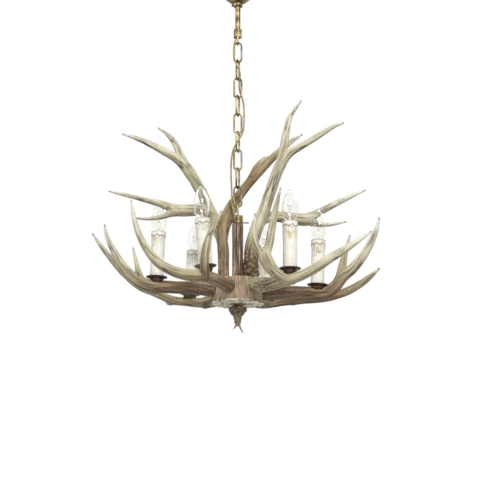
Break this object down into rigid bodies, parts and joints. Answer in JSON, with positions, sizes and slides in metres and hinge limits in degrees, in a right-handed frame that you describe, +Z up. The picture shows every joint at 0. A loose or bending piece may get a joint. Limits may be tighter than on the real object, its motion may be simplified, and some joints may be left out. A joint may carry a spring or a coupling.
{
  "type": "antler chandelier",
  "caption": "Resin antler chandelier: forked antlers around a hub carry candle lights, hung on a chain with woven flex from a bell canopy and stem.",
  "frame": {"origin": "on the ceiling plane, midway between the two fixing slots of the ceiling crossbar, on the stem's axis", "axes": "+Z up; -Y towards the viewer of the picture; +X to that viewer's right, along the ceiling crossbar"},
  "size_m": [0.6666, 0.4626, 0.8415],
  "materials": {
    "antler_resin": "satin",
    "column_resin": "satin",
    "hub_resin": "matte",
    "rosette_resin": "matte",
    "finial_resin": "satin",
    "candle_wax": "satin",
    "bronze_pan": "satin",
    "aged_brass": "satin",
    "dark_steel": "satin",
    "zinc_steel": "satin",
    "bulb_metal": "satin",
    "bulb_glass": "gloss",
    "holder_plastic": "matte",
    "terminal_plastic": "satin",
    "cord_sheath": "satin"
  },
  "bodies": {
    "ceiling_mount": {"ceiling_crossbar": "zinc_steel", "crossbar_nuts": "zinc_steel", "terminal_block": "terminal_plastic", "supply_lead": "cord_sheath", "stem_tube": "aged_brass", "stem_coupler": "aged_brass", "top_loop": "aged_brass", "flex_cord": "cord_sheath"},
    "canopy": {"ceiling_canopy": "aged_brass", "canopy_collar": "aged_brass"},
    "canopy_screw": {"canopy_set_screw": "dark_steel"},
    "link_1": {"chain_link_1": "aged_brass"},
    "link_2": {"chain_link_2": "aged_brass"},
    "link_3": {"chain_link_3": "aged_brass"},
    "link_4": {"chain_link_4": "aged_brass"},
    "link_5": {"chain_link_5": "aged_brass"},
    "link_6": {"chain_link_6": "aged_brass"},
    "link_7": {"chain_link_7": "aged_brass"},
    "link_8": {"chain_link_8": "aged_brass"},
    "link_9": {"chain_link_9": "aged_brass"},
    "lamp": {"bottom_loop": "aged_brass", "column_collar": "aged_brass", "centre_column": "column_resin", "tie_pipe": "zinc_steel", "hub_block": "hub_resin", "base_rosette": "rosette_resin", "wire_connectors": "terminal_plastic", "finial": "finial_resin", "antler_studs": "zinc_steel", "antler_lower_left": "antler_resin", "antler_lower_back_left": "antler_resin", "antler_lower_front_left": "antler_resin", "antler_lower_back_right": "antler_resin", "antler_lower_front_right": "antler_resin", "antler_lower_right": "antler_resin", "antler_upper_left": "antler_resin", "antler_upper_right": "antler_resin", "antler_upper_back": "antler_resin", "drip_pans": "bronze_pan", "candle_cups": "bronze_pan", "candle_nipples": "zinc_steel", "lampholders": "holder_plastic", "candle_sleeves": "candle_wax"},
    "lever": {"column_lever": "zinc_steel"},
    "bulb_1": {"bulb_glass_1": "bulb_glass", "bulb_cap_1": "bulb_metal"},
    "bulb_2": {"bulb_glass_2": "bulb_glass", "bulb_cap_2": "bulb_metal"},
    "bulb_3": {"bulb_glass_3": "bulb_glass", "bulb_cap_3": "bulb_metal"},
    "bulb_4": {"bulb_glass_4": "bulb_glass", "bulb_cap_4": "bulb_metal"},
    "bulb_5": {"bulb_glass_5": "bulb_glass", "bulb_cap_5": "bulb_metal"},
    "bulb_6": {"bulb_glass_6": "bulb_glass", "bulb_cap_6": "bulb_metal"}
  },
  "joints": [
    {"name": "canopy_slide", "type": "slide", "parent": "ceiling_mount", "child": "canopy", "axis": [0, 0, -1], "range_m": [0, 0.045]},
    {"name": "set_screw_turn", "type": "hinge", "parent": "canopy", "child": "canopy_screw", "pos_m": [-0.0115, 0, -0.07075], "axis": [-1, 0, 0], "range_deg": [0, 720]},
    {"name": "link_1_swing", "type": "hinge", "parent": "ceiling_mount", "child": "link_1", "pos_m": [0, 0, -0.1678], "axis": [0, 1, 0], "range_deg": [-12, 12], "deforming": ["flex_cord"]},
    {"name": "link_2_swing", "type": "hinge", "parent": "link_1", "child": "link_2", "pos_m": [0, 0, -0.2107], "axis": [1, 0, 0], "range_deg": [-12, 12]},
    {"name": "link_3_swing", "type": "hinge", "parent": "link_2", "child": "link_3", "pos_m": [0, 0, -0.2536], "axis": [0.3746, 0.9272, 0], "range_deg": [-12, 12]},
    {"name": "link_4_swing", "type": "hinge", "parent": "link_3", "child": "link_4", "pos_m": [0, 0, -0.2965], "axis": [1, 0, 0], "range_deg": [-12, 12]},
    {"name": "link_5_swing", "type": "hinge", "parent": "link_4", "child": "link_5", "pos_m": [0, 0, -0.3394], "axis": [0.3746, 0.9272, 0], "range_deg": [-12, 12]},
    {"name": "link_6_swing", "type": "hinge", "parent": "link_5", "child": "link_6", "pos_m": [0, 0, -0.3823], "axis": [1, 0, 0], "range_deg": [-12, 12]},
    {"name": "link_7_swing", "type": "hinge", "parent": "link_6", "child": "link_7", "pos_m": [0, 0, -0.4252], "axis": [0.3746, 0.9272, 0], "range_deg": [-12, 12]},
    {"name": "link_8_swing", "type": "hinge", "parent": "link_7", "child": "link_8", "pos_m": [0, 0, -0.4681], "axis": [1, 0, 0], "range_deg": [-12, 12]},
    {"name": "link_9_swing", "type": "hinge", "parent": "link_8", "child": "link_9", "pos_m": [0, 0, -0.511], "axis": [0.3746, 0.9272, 0], "range_deg": [-12, 12]},
    {"name": "lamp_swing", "type": "hinge", "parent": "link_9", "child": "lamp", "pos_m": [0, 0, -0.5539], "axis": [1, 0, 0], "range_deg": [-12, 12]},
    {"name": "lever_turn", "type": "hinge", "parent": "lamp", "child": "lever", "pos_m": [0.0085, 0, -0.59065], "axis": [1, 0, 0], "range_deg": [0, 720]},
    {"name": "bulb_1_turn", "type": "hinge", "parent": "lamp", "child": "bulb_1", "pos_m": [-0.17391, -0.02491, -0.59905], "axis": [0.0279, 0, 0.9996], "continuous": true},
    {"name": "bulb_2_turn", "type": "hinge", "parent": "lamp", "child": "bulb_2", "pos_m": [-0.10079, 0.14105, -0.60437], "axis": [0.0785, 0, 0.9969], "continuous": true},
    {"name": "bulb_3_turn", "type": "hinge", "parent": "lamp", "child": "bulb_3", "pos_m": [-0.07543, -0.16597, -0.60529], "axis": [-0.0698, 0, 0.9976], "continuous": true},
    {"name": "bulb_4_turn", "type": "hinge", "parent": "lamp", "child": "bulb_4", "pos_m": [0.06182, 0.16597, -0.60411], "axis": [-0.0436, 0, 0.999], "continuous": true},
    {"name": "bulb_5_turn", "type": "hinge", "parent": "lamp", "child": "bulb_5", "pos_m": [0.11125, -0.14105, -0.60501], "axis": [0.0087, 0, 1], "continuous": true},
    {"name": "bulb_6_turn", "type": "hinge", "parent": "lamp", "child": "bulb_6", "pos_m": [0.18124, 0.02491, -0.60607], "axis": [0.0332, 0, 0.9995], "continuous": true}
  ]
}
